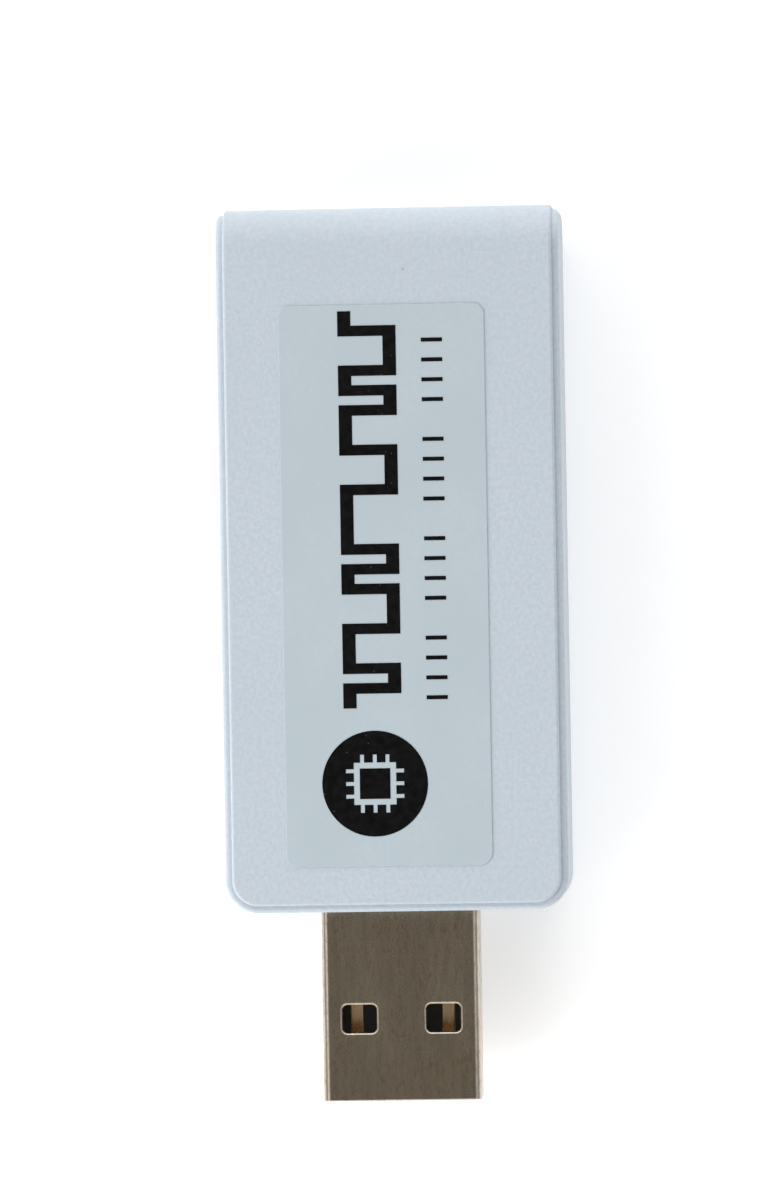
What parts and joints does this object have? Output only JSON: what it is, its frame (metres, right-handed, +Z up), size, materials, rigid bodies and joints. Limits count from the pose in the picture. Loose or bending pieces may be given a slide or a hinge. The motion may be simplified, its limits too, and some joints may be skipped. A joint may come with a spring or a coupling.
{
  "type": "usb microcontroller programmer",
  "caption": "White snap-together plastic stick with a USB Type A plug at one end, a single row target socket at the other, a printed label on its face and a populated circuit board inside",
  "frame": {"origin": "middle of the whole stick with its plug, on the surface that it lies on", "axes": "+Z up, out of the labelled face; the plug points along -Y and the target socket along +Y; X runs across"},
  "size_m": [0.026, 0.0678, 0.0121],
  "materials": {
    "board_green": "solder mask on glass epoxy",
    "can_steel": "drawn nickel-plated can",
    "cap_ceramic": "fired ceramic block",
    "case_white": "fine spark-textured ABS",
    "chip_black": "moulded epoxy",
    "contact_gold": "gold flash on phosphor bronze",
    "ferrite_grey": "sintered ferrite",
    "fuse_green": "polymer fuse laminate",
    "label_film": "thin translucent film, semi-gloss",
    "label_ink": "screen-printed black ink",
    "lamp_amber": "clear tinted resin",
    "lamp_green": "clear tinted resin",
    "lead_tin": "tinned lead",
    "plug_black": "moulded nylon",
    "resistor_black": "glass-coated film",
    "shield_steel": "nickel-plated sheet, brushed along the plug",
    "tantalum_yellow": "moulded tantalum case"
  },
  "bodies": {
    "root": {"bulk_capacitor": "tantalum_yellow", "bulk_capacitor_caps": "lead_tin", "busy_lamp": "lamp_amber", "busy_lamp_caps": "lead_tin", "ceramic_capacitors": "cap_ceramic", "ceramic_capacitors_caps": "lead_tin", "chip_resistors": "resistor_black", "chip_resistors_caps": "lead_tin", "circuit_board": "board_green", "contact_data_minus": "contact_gold", "contact_data_plus": "contact_gold", "contact_ground": "contact_gold", "contact_power": "contact_gold", "crystal_base": "can_steel", "crystal_can": "can_steel", "ferrite_bead": "ferrite_grey", "ferrite_bead_caps": "lead_tin", "front_label": "label_film", "label_print": "label_ink", "level_shifter_body": "chip_black", "level_shifter_leads": "lead_tin", "lower_shell": "case_white", "memory_chip_body": "chip_black", "memory_chip_leads": "lead_tin", "microcontroller_body": "chip_black", "microcontroller_leads": "lead_tin", "plug_insulator": "plug_black", "plug_shield": "shield_steel", "power_lamp": "lamp_green", "power_lamp_caps": "lead_tin", "regulator_body": "chip_black", "regulator_leads": "lead_tin", "resettable_fuse": "fuse_green", "resettable_fuse_caps": "lead_tin", "surge_guard_body": "chip_black", "surge_guard_leads": "lead_tin", "target_socket_body": "plug_black", "target_socket_contacts": "contact_gold", "upper_shell": "case_white"}
  },
  "joints": []
}
